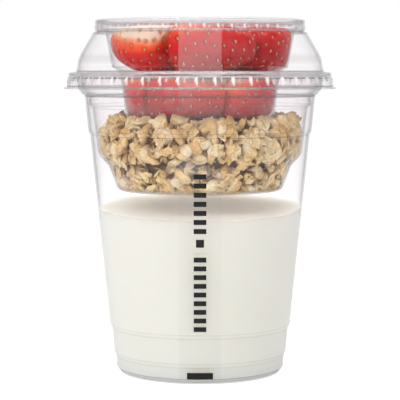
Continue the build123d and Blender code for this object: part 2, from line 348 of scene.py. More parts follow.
def clear_plastic(name, haze, cloud, edge_shade=0.35, outline=0.26, low_veil=0.0, low_veil_top=0.0,
                  low_veil_colour=None):
    """Clear PET: see-through, glossy and faintly cloudy. It is greyer where seen edge-on, part absorption
    and part painted shade, with painted shade lines and a painted highlight at its bends and on flute
    facets.
    Below the low veil's top a pale pink veil, part haze and part painted light, brightens the fruit behind
    it."""
    material, tree = new_material(name)
    place = node(tree, "ShaderNodeTexCoord").outputs["Object"]
    bent = node(tree, "ShaderNodeAttribute", attribute_name="bend").outputs["Fac"]
    facet = node(tree, "ShaderNodeAttribute", attribute_name="facet").outputs["Fac"]
    ripple = node(tree, "ShaderNodeTexNoise", {"Vector": place, "Scale": 55, "Detail": 1.5})
    bump = node(tree, "ShaderNodeBump",
                {"Height": ripple.outputs[0], "Strength": 0.06, "Distance": 0.4 * MM}).outputs[0]
    facing = node(tree, "ShaderNodeLayerWeight", {"Blend": 0.5}).outputs["Facing"]
    mirror = calc(tree, "MULTIPLY_ADD", calc(tree, "POWER", facing, 6.0), 0.45, 0.003)
    mirror = calc(tree, "MULTIPLY_ADD", bent, 0.06, mirror)
    # Greyer where the wall is seen edge-on: part absorption, part painted shade for the darker
    # surroundings that such an edge would refract.
    grey = calc(tree, "MULTIPLY_ADD", calc(tree, "POWER", facing, 8.0), -outline, 0.990)
    # Painted shade: dark lines along both flanks of each bend.
    bend_flank_shade = calc(tree, "MULTIPLY", bent, calc(tree, "SUBTRACT", 1.0, bent))
    grey = calc(tree, "MULTIPLY_ADD", bend_flank_shade, -edge_shade, grey)
    tint = node(tree, "ShaderNodeCombineColor", {
        0: grey, 1: calc(tree, "MULTIPLY", grey, 0.994), 2: calc(tree, "MULTIPLY", grey, 0.997),
    }).outputs[0]
    through = node(tree, "ShaderNodeBsdfTransparent", {"Color": tint}).outputs[0]
    gloss = node(tree, "ShaderNodeBsdfGlossy", {"Roughness": 0.06, "Normal": bump}).outputs[0]
    clear = node(tree, "ShaderNodeMixShader", {0: mirror, 1: through, 2: gloss}).outputs[0]
    patches = node(tree, "ShaderNodeTexNoise", {"Vector": place, "Scale": 60, "Detail": 3})
    milk = node(tree, "ShaderNodeMapRange",
                {0: patches.outputs[0], 1: 0.50, 2: 0.72, 3: haze, 4: cloud}).outputs[0]
    veil = node(tree, "ShaderNodeBsdfDiffuse", {"Color": (0.95, 0.95, 0.95, 1)})
    # Below its top the wall carries a pale pink veil: part haze, part painted light on the shaded lower
    # berries.
    if low_veil:
        height = node(tree, "ShaderNodeSeparateXYZ", {0: place}).outputs[2]
        below_veil_top = node(tree, "ShaderNodeMapRange",
                    {0: height, 1: (low_veil_top - 4) * MM, 2: low_veil_top * MM, 3: 1.0, 4: 0.0}).outputs[0]
        milk = calc(tree, "MULTIPLY_ADD", below_veil_top, low_veil, milk)
        low_veil_tint = node(tree, "ShaderNodeMix", {0: below_veil_top, 6: (0.95, 0.95, 0.95, 1), 7: low_veil_colour},
                     data_type="RGBA").outputs[2]
        tree.links.new(low_veil_tint, veil.inputs["Color"])
    # Painted highlight: a pale diffuse veil on the flute facets and along the middle of each bend,
    # standing for the lamps' reflection.
    milk = calc(tree, "MULTIPLY_ADD", facet, 0.55, milk)
    milk = calc(tree, "MULTIPLY_ADD", calc(tree, "POWER", bent, 4.0), 0.14, milk)
    show(tree, node(tree, "ShaderNodeMixShader", {0: milk, 1: clear, 2: veil.outputs[0]}).outputs[0])
    return material


cup_plastic = clear_plastic("clear_cup_plastic", haze=0.006, cloud=0.022, edge_shade=1.4, outline=0.36)
cup = shown("clear_cup", turned(sheet_line(cup_points(), cup_wall), cup_plastic))
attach(cup, "root")
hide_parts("cup")

# Yogurt: set smooth yogurt poured into the cup. It meets the cup's wall all round, and its surface
# lies slightly askew with a soft swirl, a little below the granola tub's floor.

yogurt_level = 56.7
yogurt_slope = math.tan(math.radians(3.5))
yogurt_into_wall = 0.15
wave_length, wave_height = 14, 0.45
cling_width, cling_height = 1.1, 0.5


def yogurt_height(x, y):
    """The yogurt's surface: a slight slope, soft waves and a small rise where it clings to the wall."""
    waves = noise.noise(Vector((x / wave_length, y / wave_length, 3.0)))
    from_wall = cup_radius(yogurt_level) - math.hypot(x, y)
    cling = math.exp(-from_wall / cling_width)
    return yogurt_level + yogurt_slope * y + wave_height * waves + cling_height * cling


def make_yogurt():
    """Rows of points up the cup's wall, then inwards over the surface to its middle."""
    skin = beside(rounded(cup_body_points(), 3.0), cup_wall - yogurt_into_wall)
    lowest_top = yogurt_level - 8
    ways = []
    for step in range(turn_steps):
        angle = 2 * math.pi * step / turn_steps
        ways.append((math.cos(angle), math.sin(angle)))
    level_radius = np.interp(yogurt_level, skin[:, 1], skin[:, 0])
    tops = [yogurt_height(level_radius * across, level_radius * deep) for across, deep in ways]
    rows = [[(radius, height)] * turn_steps for radius, height, _ in skin[skin[:, 1] < lowest_top]]
    for share in np.linspace(0, 1, 9):
        heights = [lowest_top + share * (top - lowest_top) for top in tops]
        rows.append([(np.interp(height, skin[:, 1], skin[:, 0]), height) for height in heights])
    rim = rows[-1]
    for share in (*np.linspace(0.985, 0.85, 8), *np.linspace(0.82, 0.02, 36)):
        row = []
        for (across, deep), (radius, _) in zip(ways, rim):
            near = radius * share
            row.append((near, yogurt_height(near * across, near * deep)))
        rows.append(row)
    rows.append([(0, yogurt_height(0, 0))] * turn_steps)
    places = []
    for row in rows:
        for (across, deep), (radius, height) in zip(ways, row):
            places.append((radius * across * MM, radius * deep * MM, height * MM))
    faces = []
    for row in range(len(rows) - 1):
        for step in range(turn_steps):
            ahead = (step + 1) % turn_steps
            low, high = row * turn_steps, (row + 1) * turn_steps
            faces.append((low + step, low + ahead, high + ahead, high + step))
    mesh = bpy.data.meshes.new("yogurt")
    mesh.from_pydata(places, [], faces)
    return faced_out(mesh, sharp=75)


yogurt_finish, tree = new_material("smooth_yogurt")
place = node(tree, "ShaderNodeTexCoord").outputs["Object"]
drift = node(tree, "ShaderNodeTexNoise", {"Vector": place, "Scale": 40, "Detail": 3}).outputs[0]
cream_light, cream_deep = (0.725, 0.728, 0.682, 1), (0.702, 0.703, 0.640, 1)
shade = node(tree, "ShaderNodeMix", {0: drift, 6: cream_light, 7: cream_deep},
             data_type="RGBA").outputs[2]
grain = node(tree, "ShaderNodeTexNoise", {"Vector": place, "Scale": 900, "Detail": 2}).outputs[0]
bump = node(tree, "ShaderNodeBump",
            {"Height": grain, "Strength": 0.25, "Distance": 0.1 * MM}).outputs[0]
# Painted light: faces that point up glow a little, brightening the yogurt's top where the granola tub
# shades it.
normal = node(tree, "ShaderNodeNewGeometry").outputs["Normal"]
upward = node(tree, "ShaderNodeSeparateXYZ", {0: normal}).outputs[2]
painted_top_glow = node(tree, "ShaderNodeMapRange", {0: upward, 1: 0.5, 2: 0.9, 3: 0.0, 4: 0.30}).outputs[0]
cream = node(tree, "ShaderNodeBsdfPrincipled", {
    "Base Color": shade, "Roughness": calc(tree, "MULTIPLY_ADD", drift, 0.2, 0.5),
    "Emission Color": (0.88, 0.86, 0.83, 1), "Emission Strength": painted_top_glow,
    "Subsurface Weight": 1.0, "Subsurface Radius": (20 * MM, 17 * MM, 13 * MM),
    "Subsurface Scale": 1.0, "Specular IOR Level": 0.08, "Normal": bump,
})
show(tree, cream.outputs[0])
yogurt_mesh = make_yogurt()
yogurt_mesh.materials.append(yogurt_finish)
yogurt = shown("yogurt_fill", yogurt_mesh)
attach(yogurt, "root")
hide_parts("yogurt")

# Granola tub: a thinner clear tub whose flange rests on the cup's rim. A collar holds it off the
# shoulder, and below a small ledge its bowl narrows and carries fine upright ribs.

tub_wall = 0.4
tub_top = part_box("granola_tub")[1].z / MM
tub_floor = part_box("granola_tub")[0].z / MM
bowl_top = tub_floor + 12.8
collar_radius = body_top_radius - cup_wall - 0.8
side_base = cup_radius(bowl_top) - cup_wall - 1.5


def tub_points():
    """The granola tub's outer face: floor, bowl, ledge, side, collar, neck and flange."""
    tub_neck = neck_inside - 0.8
    return [
        (0, tub_floor, 0),
        (28.2, tub_floor, 2.4),
        (31.3, bowl_top - 4.2, wide_bend),
        (side_base - 0.6, bowl_top - 1.0, bend),
        (side_base, bowl_top, bend),
        (collar_radius - 1.2, body_top - 4.2, tight_bend),
        (collar_radius, body_top - 3.0, tight_bend),
        (collar_radius, body_top, tight_bend),
        (tub_neck, neck_base, wide_bend),
        (tub_neck + 0.4, cup_height, tight_bend),
        (rim_radius - 0.1, cup_height, 0),
    ]


def kept_on_points(tree, geometry, name, value):
    """The geometry with a value kept on its points, for a material to read by name."""
    values = {"Geometry": geometry, "Name": name, "Value": value}
    return node(tree, "GeometryNodeStoreNamedAttribute", values,
                data_type="FLOAT", domain="POINT").outputs[0]


def fluting_tree():
    """Pushes flutes out of a turned wall: a flat plate between two facets that run out below.
    The two facets of a flute differ in width and in how strong a painted highlight they carry, a pale
    diffuse veil standing for the lamps' reflection."""
    tree, inputs, outputs = geometry_tree("fluting", {
        "Flutes": "Int", "Plate": "Float", "Facet": "Float", "Depth": "Float", "Top": "Float",
        "Foot": "Float", "Ledge": "Float", "Inside": "Float", "Painted Highlight": "Float", "Material": "Material",
    })
    place = node(tree, "GeometryNodeInputPosition").outputs[0]
    x, y, z = node(tree, "ShaderNodeSeparateXYZ", {0: place}).outputs
    across = node(tree, "ShaderNodeCombineXYZ", {0: x, 1: y}).outputs[0]
    radius = node(tree, "ShaderNodeVectorMath", {0: across}, operation="LENGTH").outputs["Value"]
    outward = node(tree, "ShaderNodeVectorMath", {0: across}, operation="NORMALIZE").outputs[0]
    pitch = calc(tree, "DIVIDE", 2 * math.pi, inputs["Flutes"])
    turns = calc(tree, "DIVIDE", calc(tree, "ARCTAN2", y, x), pitch)
    share = calc(tree, "SUBTRACT", turns, calc(tree, "ROUND", turns))
    aside = calc(tree, "MULTIPLY", calc(tree, "ABSOLUTE", share), calc(tree, "MULTIPLY", pitch, radius))
    past = calc(tree, "MAXIMUM", calc(tree, "SUBTRACT", aside, inputs["Plate"]), 0)
    side = calc(tree, "GREATER_THAN", share, 0)
    facet_width = calc(tree, "MULTIPLY", inputs["Facet"], calc(tree, "MULTIPLY_ADD", side, -0.45, 1.0))
    fall = calc(tree, "DIVIDE", past, facet_width)
    rise = node(tree, "ShaderNodeMapRange", {0: z, 1: inputs["Foot"], 2: inputs["Top"]}).outputs[0]
    crown = calc(tree, "ADD", inputs["Top"], inputs["Ledge"])
    close = node(tree, "ShaderNodeMapRange", {0: z, 1: inputs["Top"], 2: crown, 3: 1, 4: 0}).outputs[0]
    push = calc(tree, "MAXIMUM", calc(tree, "SUBTRACT", calc(tree, "MULTIPLY", rise, close), fall), 0)
    outer = calc(tree, "GREATER_THAN", radius, inputs["Inside"])
    deep = calc(tree, "MULTIPLY", calc(tree, "MULTIPLY", push, outer), inputs["Depth"])
    offset = node(tree, "ShaderNodeVectorMath", {0: outward, "Scale": deep}, operation="SCALE")
    sloped = calc(tree, "MULTIPLY", calc(tree, "GREATER_THAN", push, 0.04),
                  calc(tree, "GREATER_THAN", past, 0.1 * MM))
    # Painted highlight: how pale each sloped facet is drawn, stronger on one side of each flute.
    painted_highlight = calc(tree, "MULTIPLY", calc(tree, "MULTIPLY_ADD", side, -0.4, 1.0), inputs["Painted Highlight"])
    facet = calc(tree, "MULTIPLY", calc(tree, "MULTIPLY", sloped, outer), painted_highlight)
    marked = kept_on_points(tree, inputs["Geometry"], "facet", facet)
    moved = node(tree, "GeometryNodeSetPosition", {"Geometry": marked, "Offset": offset.outputs[0]})
    real = node(tree, "GeometryNodeRealizeInstances", {"Geometry": moved.outputs[0]})
    finish = node(tree, "GeometryNodeSetMaterial",
                  {"Geometry": real.outputs[0], "Material": inputs["Material"]})
    tree.links.new(finish.outputs[0], outputs["Geometry"])
    return tree


fluting = fluting_tree()
tub_plastic = clear_plastic("clear_tub_plastic", haze=0.010, cloud=0.09)
tub_mesh = turned(sheet_line(tub_points(), tub_wall, 1.5), tub_plastic, steps=288)
tub_mesh = grown(tub_mesh, fluting, {
    "Flutes": 96, "Plate": 0.15 * MM, "Facet": 0.6 * MM, "Depth": -0.22 * MM,
    "Top": (bowl_top - 1.6) * MM, "Foot": (tub_floor + 0.4) * MM, "Ledge": 0.5 * MM,
    "Inside": 26 * MM, "Painted Highlight": 0.12, "Material": tub_plastic,
})
granola_tub = shown("clear_granola_tub", faced_out(tub_mesh, 25))
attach(granola_tub, "root")
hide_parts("granola_tub")

# Granola: toasted oat flakes, baked clusters, pale nuts and seeds, heaped loose in the tub up to
# the strawberry tub's floor. A packed core stands for what lies behind the outer layers; it is
# coloured dark as painted shade, and pieces deeper in the heap carry painted shade too.

fruit_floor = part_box("fruit_tub")[0].z / MM
tub_inside = beside(rounded(tub_points(), 1.0), tub_wall)


def evened(mesh, voxel, subdivisions=0):
    """A copy of a loose solid mesh as one skin with even faces."""
    mesh = mesh.copy()
    work = bmesh.new()
    work.from_mesh(mesh)
    bmesh.ops.remove_doubles(work, verts=work.verts, dist=0.001 * MM)
    work.to_mesh(mesh)
    work.free()
    host = shown("host", mesh)
    even = host.modifiers.new("even", "REMESH")
    even.mode, even.voxel_size = "VOXEL", voxel * MM
    if subdivisions:
        fine = host.modifiers.new("fine", "SUBSURF")
        fine.levels = fine.render_levels = subdivisions
    result = bpy.data.meshes.new_from_object(host.evaluated_get(bpy.context.evaluated_depsgraph_get()))
    bpy.data.objects.remove(host)
    return result


def core_tree():
    """Sinks the heap's skin to a lumpy core."""
    tree, inputs, outputs = geometry_tree(
        "sunk_core", {"Sink": "Float", "Lumps": "Float", "Lump Scale": "Float", "Material": "Material"}
    )
    place = node(tree, "GeometryNodeInputPosition").outputs[0]
    lumps = node(tree, "ShaderNodeTexNoise", {"Vector": place, "Scale": inputs["Lump Scale"], "Detail": 2})
    lift = calc(tree, "MULTIPLY", calc(tree, "SUBTRACT", lumps.outputs[0], 0.5), inputs["Lumps"])
    depth = calc(tree, "SUBTRACT", lift, inputs["Sink"])
    normal = node(tree, "GeometryNodeInputNormal").outputs[0]
    offset = node(tree, "ShaderNodeVectorMath", {0: normal, "Scale": depth}, operation="SCALE")
    moved = node(tree, "GeometryNodeSetPosition",
                 {"Geometry": inputs["Geometry"], "Offset": offset.outputs[0]})
    smooth = node(tree, "GeometryNodeSetShadeSmooth", {"Geometry": moved.outputs[0]})
    real = node(tree, "GeometryNodeRealizeInstances", {"Geometry": smooth.outputs[0]})
    finish = node(tree, "GeometryNodeSetMaterial",
                  {"Geometry": real.outputs[0], "Material": inputs["Material"]})
    tree.links.new(finish.outputs[0], outputs["Geometry"])
    return tree


def scatter_tree():
    """Lays the meshes of a collection over a skin, each tilted, spun, sized and sunk at random.
    It keeps a random tone for each piece, and how deep in the heap each point is, which the toasted finish
    turns into painted shade."""
    tree, inputs, outputs = geometry_tree("laid_pieces", {
        "Pieces": "Collection", "Spacing": "Float", "Sink": "Float", "Tilt": "Float",
        "Smallest": "Float", "Largest": "Float", "Seed": "Int", "Material": "Material",
    })
    spots = node(tree, "GeometryNodeDistributePointsOnFaces", {
        "Mesh": inputs["Geometry"], "Distance Min": inputs["Spacing"],
        "Density Max": 4.0e5, "Seed": inputs["Seed"],
    }, distribute_method="POISSON")
    kinds = node(tree, "GeometryNodeCollectionInfo",
                 {"Collection": inputs["Pieces"], "Separate Children": True, "Reset Children": True})
    tilt = inputs["Tilt"]
    back = calc(tree, "MULTIPLY", tilt, -1)
    low = node(tree, "ShaderNodeCombineXYZ", {0: back, 1: back, 2: -math.pi})
    high = node(tree, "ShaderNodeCombineXYZ", {0: tilt, 1: tilt, 2: math.pi})
    spin = node(tree, "FunctionNodeRandomValue",
                {0: low.outputs[0], 1: high.outputs[0], "Seed": inputs["Seed"]}, data_type="FLOAT_VECTOR")
    turn = node(tree, "FunctionNodeEulerToRotation", {0: spin.outputs[0]})
    lie = node(tree, "FunctionNodeRotateRotation",
               {0: spots.outputs["Rotation"], 1: turn.outputs[0]}, rotation_space="LOCAL")
    size = node(tree, "FunctionNodeRandomValue",
                {2: inputs["Smallest"], 3: inputs["Largest"], "Seed": inputs["Seed"]}, data_type="FLOAT")
    uneven = node(tree, "FunctionNodeRandomValue", {2: -0.6, 3: -1.5, "Seed": 31}, data_type="FLOAT")
    sink = calc(tree, "MULTIPLY", inputs["Sink"], uneven.outputs[1])
    drop = node(tree, "ShaderNodeVectorMath", {0: spots.outputs["Normal"], "Scale": sink},
                operation="SCALE")
    caught = node(tree, "GeometryNodeCaptureAttribute", {"Geometry": spots.outputs["Points"]})
    caught.capture_items.new("VECTOR", "drop")
    tree.links.new(drop.outputs[0], caught.inputs[1])
    laid = node(tree, "GeometryNodeInstanceOnPoints", {
        "Points": caught.outputs[0], "Instance": kinds.outputs[0], "Pick Instance": True,
        "Rotation": lie.outputs[0], "Scale": size.outputs[1],
    })
    sunk = node(tree, "GeometryNodeTranslateInstances",
                {"Instances": laid.outputs[0], "Translation": caught.outputs[1], "Local Space": False})
    tone = node(tree, "FunctionNodeRandomValue", {2: 0.0, 3: 1.0, "Seed": 77}, data_type="FLOAT")
    toned = node(tree, "GeometryNodeStoreNamedAttribute",
                 {"Geometry": sunk.outputs[0], "Name": "tone", "Value": tone.outputs[1]},
                 data_type="FLOAT", domain="INSTANCE")
    real = node(tree, "GeometryNodeRealizeInstances", {"Geometry": toned.outputs[0]})
    # How far each point lies below the heap's skin; the toasted finish darkens deep points as painted
    # shade.
    skin_gap = node(tree, "GeometryNodeProximity", {0: inputs["Geometry"]}, target_element="FACES")
    depth = node(tree, "ShaderNodeMapRange",
                 {0: skin_gap.outputs["Distance"], 1: 0.2 * MM, 2: 2.6 * MM}).outputs[0]
    buried = kept_on_points(tree, real.outputs[0], "depth", depth)
    smooth = node(tree, "GeometryNodeSetShadeSmooth", {"Geometry": buried})
    finish = node(tree, "GeometryNodeSetMaterial",
                  {"Geometry": smooth.outputs[0], "Material": inputs["Material"]})
    tree.links.new(finish.outputs[0], outputs["Geometry"])
    return tree


def flake(seed, length, width, thickness):
    """A rolled oat: a ragged oval plate, cupped, with a crease along its middle."""
    chance = random.Random(seed)
    spokes = 9
    cup_depth = chance.uniform(0.6, 1.9)
    twist = chance.uniform(-0.55, 0.55)
    rings = [(0.5, 0.5), (0.86, 0.44), (1.0, 0.12)]
    outline = []
    for spoke in range(spokes):
        angle = 2 * math.pi * spoke / spokes
        way = Vector((math.cos(angle), math.sin(angle), 0))
        ragged = 0.22 * noise.noise(way * 1.7 + Vector((0, 0, seed)))
        outline.append(1 + ragged + chance.uniform(-0.06, 0.06))
    places = [(0, 0, thickness * 0.4)]
    for side in (1, -1):
        for reach, half in rings if side == 1 else rings[1::-1]:
            for spoke in range(spokes):
                angle = 2 * math.pi * spoke / spokes
                x = length / 2 * reach * outline[spoke] * math.cos(angle)
                y = width / 2 * reach * outline[spoke] * math.sin(angle)
                bow = cup_depth * (y / (width / 2)) ** 2 + twist * x * y / width
                dent = 0.3 * thickness * math.exp(-(y / 0.4) ** 2)
                wave = 0.5 * noise.noise(Vector((x / 1.5, y / 1.5, seed * 3.1)))
                places.append((x, y, side * (thickness * half - dent) + bow + wave))
    places.append((0, 0, -thickness * 0.5))
    faces = []
    last = len(places) - 1
    for spoke in range(spokes):
        ahead = (spoke + 1) % spokes
        faces.append((0, 1 + spoke, 1 + ahead))
        for ring in range(4):
            inner, outer = 1 + ring * spokes, 1 + (ring + 1) * spokes
            faces.append((inner + spoke, outer + spoke, outer + ahead, inner + ahead))
        faces.append((last, last - spokes + ahead, last - spokes + spoke))
    mesh = bpy.data.meshes.new("flake")
    mesh.from_pydata([(x * MM, y * MM, z * MM) for x, y, z in places], [], faces)
    return faced_out(mesh, 70)


def lump(seed, size, roughness, detail, level=2):
    """A rounded piece of given length, width and height, its surface broken up by noise."""
    work = bmesh.new()
    bmesh.ops.create_icosphere(work, subdivisions=level, radius=0.5)
    for vert in work.verts:
        way = vert.co.normalized()
        swell = 1 + roughness * noise.noise(way * detail + Vector((seed * 7.3, 1.7, seed)))
        vert.co = Vector((way.x * size[0], way.y * size[1], way.z * size[2])) * swell * 0.5 * MM
    mesh = bpy.data.meshes.new("lump")
    work.to_mesh(mesh)
    work.free()
    return faced_out(mesh, 70)


def clump(seed, across):
    """A baked cluster: a lump with small flakes stuck on it at all angles."""
    chance = random.Random(seed)

    def any_way():
        return Vector((chance.gauss(0, 1), chance.gauss(0, 1), chance.gauss(0, 1)))

    width, height = 0.85 * across, 0.7 * across
    work = bmesh.new()
    work.from_mesh(lump(seed, (across, across * chance.uniform(0.7, 0.95), height), 0.5, 1.8, level=1))
    for piece in range(13):
        way = any_way().normalized()
        start = len(work.verts)
        size = chance.uniform(3.2, 5.4), chance.uniform(2.4, 3.6), chance.uniform(0.9, 1.5)
        work.from_mesh(flake(seed * 20 + piece, *size))
        work.verts.ensure_lookup_table()
        lie = (way + 0.5 * any_way()).to_track_quat("Z", "X")
        reach = Vector((way.x * across, way.y * width, way.z * height)) * 0.46 * MM
        for vert in work.verts[start:]:
            vert.co = lie @ vert.co + reach
    mesh = bpy.data.meshes.new("clump")
    work.to_mesh(mesh)
    work.free()
    mesh.shade_smooth()
    return mesh


def kinds_of(name, meshes):
    """A collection of spare meshes for the scatter tree. It is outside the scene."""
    collection = bpy.data.collections.new(name)
    for place, mesh in enumerate(meshes):
        collection.objects.link(bpy.data.objects.new(f"{name}_{place}", mesh))
    return collection


def shader_group(name, inputs, outputs):
    """An empty shader node group with named inputs and outputs."""
    tree = bpy.data.node_groups.new(name, "ShaderNodeTree")
    for way, sockets in (("INPUT", inputs), ("OUTPUT", outputs)):
        for label, kind in sockets.items():
            tree.interface.new_socket(label, in_out=way, socket_type="NodeSocket" + kind)
    return tree, tree.nodes.new("NodeGroupInput").outputs, tree.nodes.new("NodeGroupOutput").inputs


def mealy_group():
    """A toasted surface: tone from piece to piece, browner in patches, painted shade deep in the heap,
    with a fine mealy grain."""
    tree, inputs, outputs = shader_group(
        "toasted_mealy_surface",
        {"Light": "Color", "Brown": "Color", "Dark": "Color", "Scale": "Float"},
        {"Colour": "Color", "Height": "Float"},
    )
    place = node(tree, "ShaderNodeTexCoord").outputs["Object"]
    tone = node(tree, "ShaderNodeAttribute", attribute_name="tone").outputs["Fac"]
    depth = node(tree, "ShaderNodeAttribute", attribute_name="depth").outputs["Fac"]
    patch = node(tree, "ShaderNodeTexNoise", {
        "Vector": place, "Scale": inputs["Scale"], "Detail": 5, "Roughness": 0.65,
    }).outputs[0]
    fine_scale = calc(tree, "MULTIPLY", inputs["Scale"], 5)
    fine = node(tree, "ShaderNodeTexNoise",
                {"Vector": place, "Scale": fine_scale, "Detail": 4}).outputs[0]
    base = node(tree, "ShaderNodeMix", {0: tone, 6: inputs["Light"], 7: inputs["Brown"]},
                data_type="RGBA").outputs[2]
    mealy = node(tree, "ShaderNodeMapRange", {0: patch, 1: 0.42, 2: 0.72, 3: 0.0, 4: 0.55}).outputs[0]
    spotted = node(tree, "ShaderNodeMix", {0: mealy, 6: base, 7: inputs["Dark"]},
                   data_type="RGBA").outputs[2]
    grained = node(tree, "ShaderNodeMapRange", {0: fine, 1: 0.3, 2: 0.7, 3: 0.78, 4: 1.10}).outputs[0]
    grainy = node(tree, "ShaderNodeVectorMath", {0: spotted, "Scale": grained},
                  operation="SCALE").outputs[0]
    # Painted shade: points deep in the heap are darkened towards a deep brown.
    painted_shade = node(tree, "ShaderNodeVectorMath", {0: grainy, 1: (0.34, 0.21, 0.10)},
                  operation="MULTIPLY").outputs[0]
    colour = node(tree, "ShaderNodeMix", {0: depth, 6: grainy, 7: painted_shade}, data_type="RGBA").outputs[2]
    tree.links.new(colour, outputs["Colour"])
    tree.links.new(calc(tree, "ADD", patch, fine), outputs["Height"])
    return tree


mealy_surface = mealy_group()


def toasted(name, light, brown, dark, scale, roughness=0.7):
    """A toasted finish from its lightest to its darkest colour."""
    material, tree = new_material(name)
    mealy = node(tree, "ShaderNodeGroup", {
        "Light": (*light, 1), "Brown": (*brown, 1), "Dark": (*dark, 1), "Scale": scale,
    }, node_tree=mealy_surface)
    bump = node(tree, "ShaderNodeBump", {
        "Height": mealy.outputs["Height"], "Strength": 0.8, "Distance": 0.35 * MM,
    }).outputs[0]
    surface = node(tree, "ShaderNodeBsdfPrincipled", {
        "Base Color": mealy.outputs["Colour"], "Roughness": roughness, "Normal": bump,
    })
    show(tree, surface.outputs[0])
    return material


sunk_core = core_tree()
laid_pieces = scatter_tree()
heap_voxel = 1.1
skin = evened(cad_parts["granola"].data, heap_voxel)
# Painted shade: the core is coloured far darker than the pieces, standing for the shaded granola behind
# the outer layers.
core_painted_shade = toasted("granola_core_painted_shade", (0.40, 0.21, 0.07), (0.28, 0.14, 0.045), (0.12, 0.05, 0.018), 500)
core = shown("granola_core", faced_out(grown(skin, sunk_core, {
    "Sink": 4.6 * MM, "Lumps": 2.4 * MM, "Lump Scale": 320.0, "Material": core_painted_shade,
}), 180))
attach(core, "root")
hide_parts("granola")

oat_finish = toasted("toasted_oat", (1.0, 0.91, 0.58), (0.84, 0.58, 0.22), (0.50, 0.28, 0.08), 300)
kernel_finish = toasted("golden_oat", (0.96, 0.73, 0.37), (0.78, 0.51, 0.19), (0.48, 0.25, 0.07), 260)
cluster_finish = toasted("baked_cluster", (1.0, 0.89, 0.55), (0.82, 0.55, 0.20), (0.46, 0.24, 0.06), 300)
nut_finish = toasted("pale_nut", (0.94, 0.82, 0.56), (0.84, 0.68, 0.40), (0.56, 0.38, 0.18), 200, 0.5)
seed_finish = toasted("pale_seed", (0.90, 0.80, 0.56), (0.72, 0.60, 0.38), (0.50, 0.38, 0.21), 300, 0.55)
chance = random.Random(4)


def sized(*ranges):
    """A random size in millimetres within each of the ranges."""
    return [chance.uniform(least, most) for least, most in ranges]


flakes = [flake(kind, *sized((5.6, 8.6), (3.4, 5.2), (1.3, 2.1))) for kind in range(10)]
chips = [flake(kind, *sized((3.0, 4.4), (2.0, 3.0), (1.0, 1.5))) for kind in range(20, 26)]
kernels = [lump(kind, sized((5.2, 8.2), (2.6, 4.0), (1.9, 2.9)), 0.5, 1.6) for kind in range(70, 78)]
clusters = [clump(kind, *sized((5.5, 8.0))) for kind in range(1, 8)]
nuts = [lump(kind, sized((5.6, 6.8), (4.6, 5.4), (2.6, 3.4)), 0.10, 1.4) for kind in range(30, 34)]
seeds = [lump(kind, sized((5.5, 7.5), (2.8, 3.6), (1.4, 1.9)), 0.15, 1.6) for kind in range(50, 54)]
# Each layer: kinds, spacing, sink, tilt, smallest and largest share of size, seed, finish.
layers = {
    "oat_flakes_deep": (flakes, 3.8, 3.6, 1.3, 0.7, 0.95, 3, oat_finish),
    "oat_flakes": (flakes, 6.0, 1.7, 1.1, 0.75, 1.1, 11, oat_finish),
    "oat_chips": (chips, 4.6, 1.5, 1.3, 0.8, 1.2, 5, oat_finish),
    "golden_kernels": (kernels, 6.0, 1.4, 0.8, 0.7, 1.1, 15, kernel_finish),
    "baked_clusters": (clusters, 7.0, 3.2, 3.1, 0.75, 1.1, 8, cluster_finish),
    "pale_nuts": (nuts, 14.0, 1.5, 0.5, 0.85, 1.1, 21, nut_finish),
    "pale_seeds": (seeds, 13.0, 1.2, 0.5, 0.8, 1.1, 34, seed_finish),
}


def eased(value, limit, softness):
    """Values held under a limit, easing into it over the softness."""
    start = limit - softness
    over = np.maximum(value - start, 0)
    return np.where(value < start, value, limit - softness * np.exp(-over / softness))


def read_points(mesh):
    """A mesh's points in millimetres."""
    flat = np.empty(len(mesh.vertices) * 3, np.float32)
    mesh.vertices.foreach_get("co", flat)
    return flat.reshape(-1, 3).astype(float) / MM


def write_points(mesh, points):
    mesh.vertices.foreach_set("co", (points * MM).astype(np.float32).ravel())
    mesh.update()


def kept_inside(mesh):
    """Presses what sticks out of the granola tub, or into the strawberry tub's floor, back in."""
    points = read_points(mesh)
    radius = np.hypot(points[:, 0], points[:, 1])
    under_fruit = fruit_floor - 0.2
    hit = (points[:, 2] > under_fruit) & (radius < 27.5)
    points[hit, 2] = under_fruit
    points[:, 2] = np.maximum(points[:, 2], tub_floor + tub_wall + 0.05)
    limit = np.interp(points[:, 2], tub_inside[:, 1], tub_inside[:, 0]) - 0.08
    points[:, :2] *= (eased(radius, limit, 0.8) / np.maximum(radius, 1e-6))[:, None]
    write_points(mesh, points)
    return mesh


for name, (kinds, spacing, sink, tilt, smallest, largest, seed, finish) in layers.items():
    values = {
        "Pieces": kinds_of(name + "_kinds", kinds), "Spacing": spacing * MM, "Sink": sink * MM,
        "Tilt": tilt, "Smallest": smallest, "Largest": largest, "Seed": seed, "Material": finish,
    }
    laid = shown(name, kept_inside(grown(skin, laid_pieces, values)))
    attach(laid, "root")
    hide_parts("granola")

# Domed lid: clear PET snapped over both rims, with a lip, a fluted skirt, a bead and a round neck
# that holds the strawberry tub.

lid_wall = 0.5
lid_shoulder = tub_top + lid_wall
skirt_radius = rim_radius + 0.1 + lid_wall
dome_base_radius = skirt_radius - 2.9
dome_base = lid_shoulder + 2.0
dome_top = lid_shoulder + 14.0
neck_radius = 35.2
neck_top = dome_top + 3.0


def lid_points():
    lip_top = lid_shoulder - 5.0
    return [
        (skirt_radius + 1.8, lip_top, 0),
        (skirt_radius + 0.8, lip_top, bend),
        (skirt_radius + 0.1, lid_shoulder - 1.4, bend),
        (skirt_radius, lid_shoulder, bend),
        (dome_base_radius + 0.4, lid_shoulder + 0.2, bend),
        (dome_base_radius, dome_base, bend),
        (dome_base_radius - 0.4, dome_base + 3.0, 11.0),
        (neck_radius + 1.2, dome_top - 0.4, bend),
        (neck_radius, dome_top, tight_bend),
        (neck_radius, neck_top, 0),
    ]


